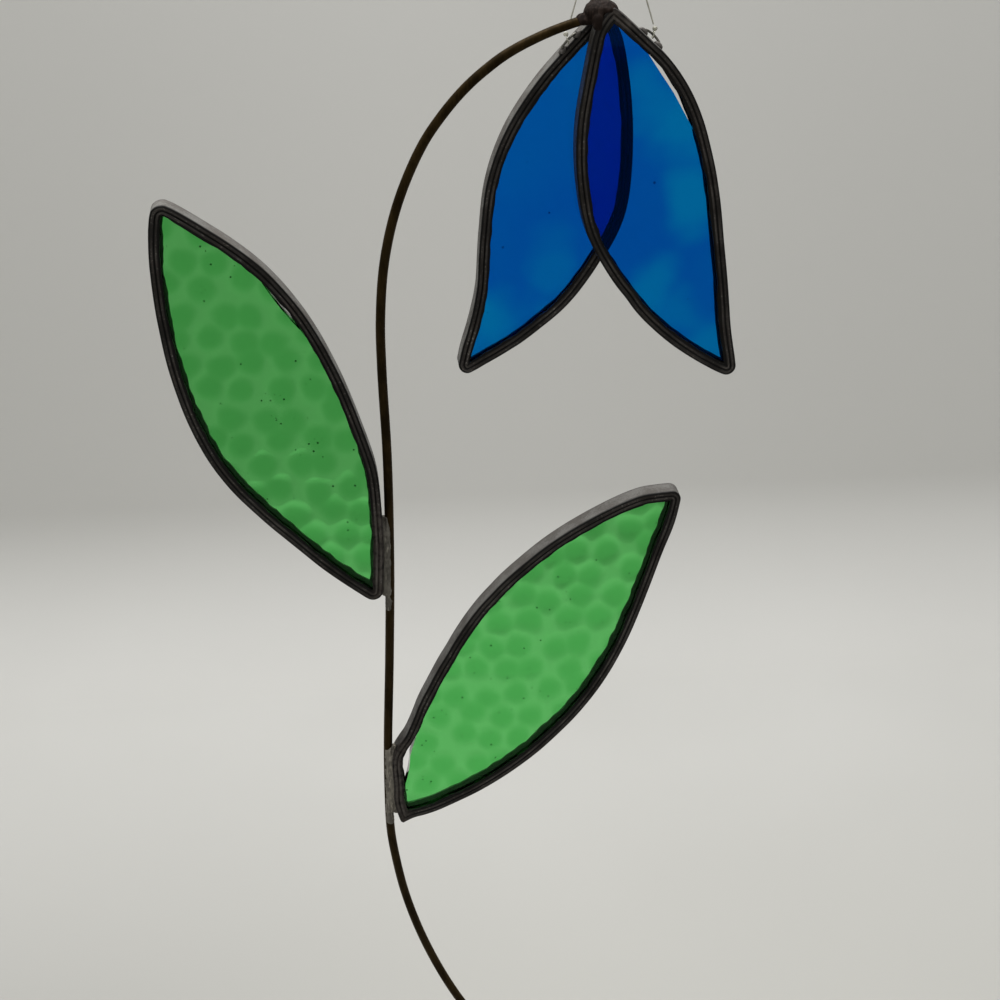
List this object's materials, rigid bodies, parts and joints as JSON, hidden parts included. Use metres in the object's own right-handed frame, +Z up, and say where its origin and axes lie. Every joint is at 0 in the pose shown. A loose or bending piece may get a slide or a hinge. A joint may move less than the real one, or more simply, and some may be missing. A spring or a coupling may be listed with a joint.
{
  "type": "stained glass flower suncatcher",
  "caption": "Hanging flower of blue petals and green leaves, hammered and streaky glass in lead strip soldered to a bent rod, hung in a window on a clear line",
  "frame": {"origin": "the upper bend of the clear line, where a hook holds it", "axes": "+Z up, +X to the right as seen from the front, +Y to the back; the front faces -Y"},
  "size_m": [0.1216, 0.0108, 0.2879],
  "materials": {
    "lead_strip": "blackened lead, ridged along its face and dull grey on its edge",
    "solder": "dull blackened solder with a soft sheen",
    "stem": "dark brown patina on a smooth rod",
    "wire": "tinned wire, dull grey",
    "line": "clear, slightly yellow nylon line",
    "blue_glass": "smooth, streaked from deep blue to turquoise",
    "green_glass": "hammered, with shallow round dimples and a few seeds"
  },
  "bodies": {
    "line": {"hanging_line": "line", "line_knot_left": "line", "line_knot_right": "line"},
    "flower": {"stem_rod": "stem", "top_joint_solder": "solder", "petal_left_glass": "blue_glass", "petal_left_came": "lead_strip", "petal_right_glass": "blue_glass", "petal_right_came": "lead_strip", "leaf_left_glass": "green_glass", "leaf_left_came": "lead_strip", "leaf_right_glass": "green_glass", "leaf_right_came": "lead_strip", "leaf_left_solder_front": "solder", "leaf_left_solder_back": "solder", "leaf_right_solder_front": "solder", "leaf_right_solder_back": "solder", "hang_loop_left": "wire", "hang_loop_left_bead_upper": "solder", "hang_loop_left_bead_lower": "solder", "hang_loop_right": "wire", "hang_loop_right_bead_upper": "solder", "hang_loop_right_bead_lower": "solder"}
  },
  "joints": [
    {"name": "flower_swing", "type": "hinge", "parent": "line", "child": "flower", "pos_m": [0.00047, 0, -0.03059], "axis": [0.9992, 0, 0.0395], "range_deg": [-20, 30]}
  ]
}
